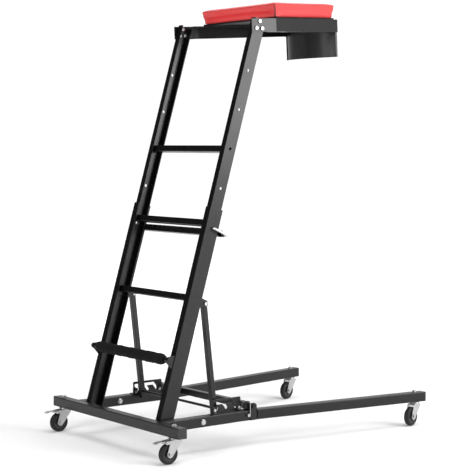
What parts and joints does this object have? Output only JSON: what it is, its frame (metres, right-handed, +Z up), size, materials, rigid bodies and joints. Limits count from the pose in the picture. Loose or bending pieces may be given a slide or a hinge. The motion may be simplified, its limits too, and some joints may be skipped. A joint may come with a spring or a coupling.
{
  "type": "topside automotive creeper",
  "caption": "Rolling topside creeper: leaning telescopic ladder on a four-caster folding base, with a foot roller, props, lock rod and a red padded chest deck.",
  "frame": {"origin": "on the floor, under the middle of the whole object's box", "axes": "+X to the right-hand rail, +Y from the front crossbar towards the rear legs, +Z up"},
  "size_m": [0.846, 1.3, 1.6815],
  "materials": {
    "black_paint": "satin black powder coat",
    "zinc_plate": "bright zinc plate",
    "chrome_bar": "polished",
    "rubber_tyre": "matte",
    "wheel_plastic": "moulded",
    "cap_plastic": "moulded",
    "black_foam": "fine closed-cell foam",
    "grip_rubber": "matte",
    "red_vinyl": "fine-grained vinyl",
    "board_wood": "black-stained board"
  },
  "bodies": {
    "base": {"front_crossbar": "black_paint", "crossbar_end_caps": "cap_plastic", "side_rail_right": "black_paint", "side_rail_left": "black_paint", "rail_joining_stubs": "black_paint", "base_bolts": "zinc_plate", "hinge_bolts": "black_paint", "leg_bracket_right": "black_paint", "leg_bracket_left": "black_paint", "rear_cross_tube": "black_paint", "notched_plate_right": "black_paint", "notched_plate_left": "black_paint", "notched_plate_cleats": "black_paint", "linch_pins": "zinc_plate", "caster_stems_front": "zinc_plate"},
    "leg_right": {"leg_tube_right": "black_paint", "leg_end_cap_right": "cap_plastic", "leg_hinge_tongue_right": "black_paint", "caster_stem_rear_right": "zinc_plate"},
    "leg_left": {"leg_tube_left": "black_paint", "leg_end_cap_left": "cap_plastic", "leg_hinge_tongue_left": "black_paint", "caster_stem_rear_left": "zinc_plate"},
    "ladder_lower": {"ladder_lower_channel_right": "black_paint", "ladder_lower_channel_left": "black_paint", "ladder_lower_cross_member": "black_paint", "roller_brackets": "black_paint", "roller_shaft": "black_paint", "strut_lugs": "black_paint", "strut_pivot_bolts": "zinc_plate"},
    "roller": {"foot_roller": "black_foam"},
    "strut_frame": {"struts": "black_paint", "strut_cross_rod": "black_paint"},
    "ladder_upper": {"ladder_upper_channel_right": "black_paint", "ladder_upper_channel_left": "black_paint", "ladder_rungs": "black_paint", "deck_arm_right": "black_paint", "deck_arm_left": "black_paint", "deck_arm_bolts": "zinc_plate", "pad_board": "board_wood", "chest_pad": "red_vinyl", "deck_guard": "black_paint"},
    "lock": {"lock_rod": "chrome_bar", "lock_rod_sleeve": "grip_rubber"},
    "bail_right": {"linch_bail_right": "zinc_plate"},
    "bail_left": {"linch_bail_left": "zinc_plate"},
    "swivel_front_right": {"caster_fork_front_right": "zinc_plate"},
    "wheel_front_right": {"caster_hub_front_right": "wheel_plastic", "caster_tyre_front_right": "rubber_tyre"},
    "pedal_front_right": {"brake_pedal_front_right": "zinc_plate"},
    "swivel_front_left": {"caster_fork_front_left": "zinc_plate"},
    "wheel_front_left": {"caster_hub_front_left": "wheel_plastic", "caster_tyre_front_left": "rubber_tyre"},
    "pedal_front_left": {"brake_pedal_front_left": "zinc_plate"},
    "swivel_rear_right": {"caster_fork_rear_right": "zinc_plate"},
    "wheel_rear_right": {"caster_hub_rear_right": "wheel_plastic", "caster_tyre_rear_right": "rubber_tyre"},
    "swivel_rear_left": {"caster_fork_rear_left": "zinc_plate"},
    "wheel_rear_left": {"caster_hub_rear_left": "wheel_plastic", "caster_tyre_rear_left": "rubber_tyre"}
  },
  "joints": [
    {"name": "ladder_lean", "type": "hinge", "parent": "base", "child": "ladder_lower", "pos_m": [0, -0.5127, 0.1163], "axis": [-1, 0, 0], "range_deg": [0, 3.5]},
    {"name": "strut_swing", "type": "hinge", "parent": "ladder_lower", "child": "strut_frame", "pos_m": [0, -0.33394, 0.54093], "axis": [1, 0, 0], "range_deg": [0, 12.6]},
    {"name": "ladder_slide", "type": "slide", "parent": "ladder_lower", "child": "ladder_upper", "axis": [0, 0.2857, 0.9583], "range_m": [-0.3048, 0]},
    {"name": "lock_pull", "type": "slide", "parent": "ladder_lower", "child": "lock", "axis": [1, 0, 0], "range_m": [0, 0.06]},
    {"name": "roller_spin", "type": "hinge", "parent": "ladder_lower", "child": "roller", "pos_m": [0, -0.50045, 0.34639], "axis": [1, 0, 0], "continuous": true},
    {"name": "leg_fold_right", "type": "hinge", "parent": "base", "child": "leg_right", "pos_m": [0.276, -0.146, 0.145], "axis": [1, 0, 0], "range_deg": [0, 90]},
    {"name": "bail_open_right", "type": "hinge", "parent": "base", "child": "bail_right", "pos_m": [0.3005, -0.172, 0.115], "axis": [0, 1, 0], "range_deg": [0, 90]},
    {"name": "leg_fold_left", "type": "hinge", "parent": "base", "child": "leg_left", "pos_m": [-0.276, -0.146, 0.145], "axis": [1, 0, 0], "range_deg": [0, 90]},
    {"name": "bail_open_left", "type": "hinge", "parent": "base", "child": "bail_left", "pos_m": [-0.3005, -0.172, 0.115], "axis": [0, -1, 0], "range_deg": [0, 90]},
    {"name": "swivel_turn_front_right", "type": "hinge", "parent": "base", "child": "swivel_front_right", "pos_m": [0.372, -0.565, 0.09], "axis": [0, 0, 1], "continuous": true},
    {"name": "wheel_roll_front_right", "type": "hinge", "parent": "swivel_front_right", "child": "wheel_front_right", "pos_m": [0.372, -0.591, 0.0375], "axis": [1, 0, 0], "continuous": true},
    {"name": "pedal_press_front_right", "type": "hinge", "parent": "swivel_front_right", "child": "pedal_front_right", "pos_m": [0.372, -0.605, 0.079], "axis": [1, 0, 0], "range_deg": [0, 10]},
    {"name": "swivel_turn_front_left", "type": "hinge", "parent": "base", "child": "swivel_front_left", "pos_m": [-0.372, -0.565, 0.09], "axis": [0, 0, 1], "continuous": true},
    {"name": "wheel_roll_front_left", "type": "hinge", "parent": "swivel_front_left", "child": "wheel_front_left", "pos_m": [-0.372, -0.591, 0.0375], "axis": [1, 0, 0], "continuous": true},
    {"name": "pedal_press_front_left", "type": "hinge", "parent": "swivel_front_left", "child": "pedal_front_left", "pos_m": [-0.372, -0.605, 0.079], "axis": [1, 0, 0], "range_deg": [0, 10]},
    {"name": "swivel_turn_rear_right", "type": "hinge", "parent": "leg_right", "child": "swivel_rear_right", "pos_m": [0.38764, 0.61, 0.09], "axis": [0, 0, 1], "continuous": true},
    {"name": "wheel_roll_rear_right", "type": "hinge", "parent": "swivel_rear_right", "child": "wheel_rear_right", "pos_m": [0.39348, 0.58467, 0.0375], "axis": [0.9744, 0.225, 0], "continuous": true},
    {"name": "swivel_turn_rear_left", "type": "hinge", "parent": "leg_left", "child": "swivel_rear_left", "pos_m": [-0.38764, 0.61, 0.09], "axis": [0, 0, 1], "continuous": true},
    {"name": "wheel_roll_rear_left", "type": "hinge", "parent": "swivel_rear_left", "child": "wheel_rear_left", "pos_m": [-0.38179, 0.58467, 0.0375], "axis": [0.9744, 0.225, 0], "continuous": true}
  ],
  "couplings": [
    {"joint": "strut_swing", "follows": "ladder_lean", "ratio": 3.53}
  ]
}
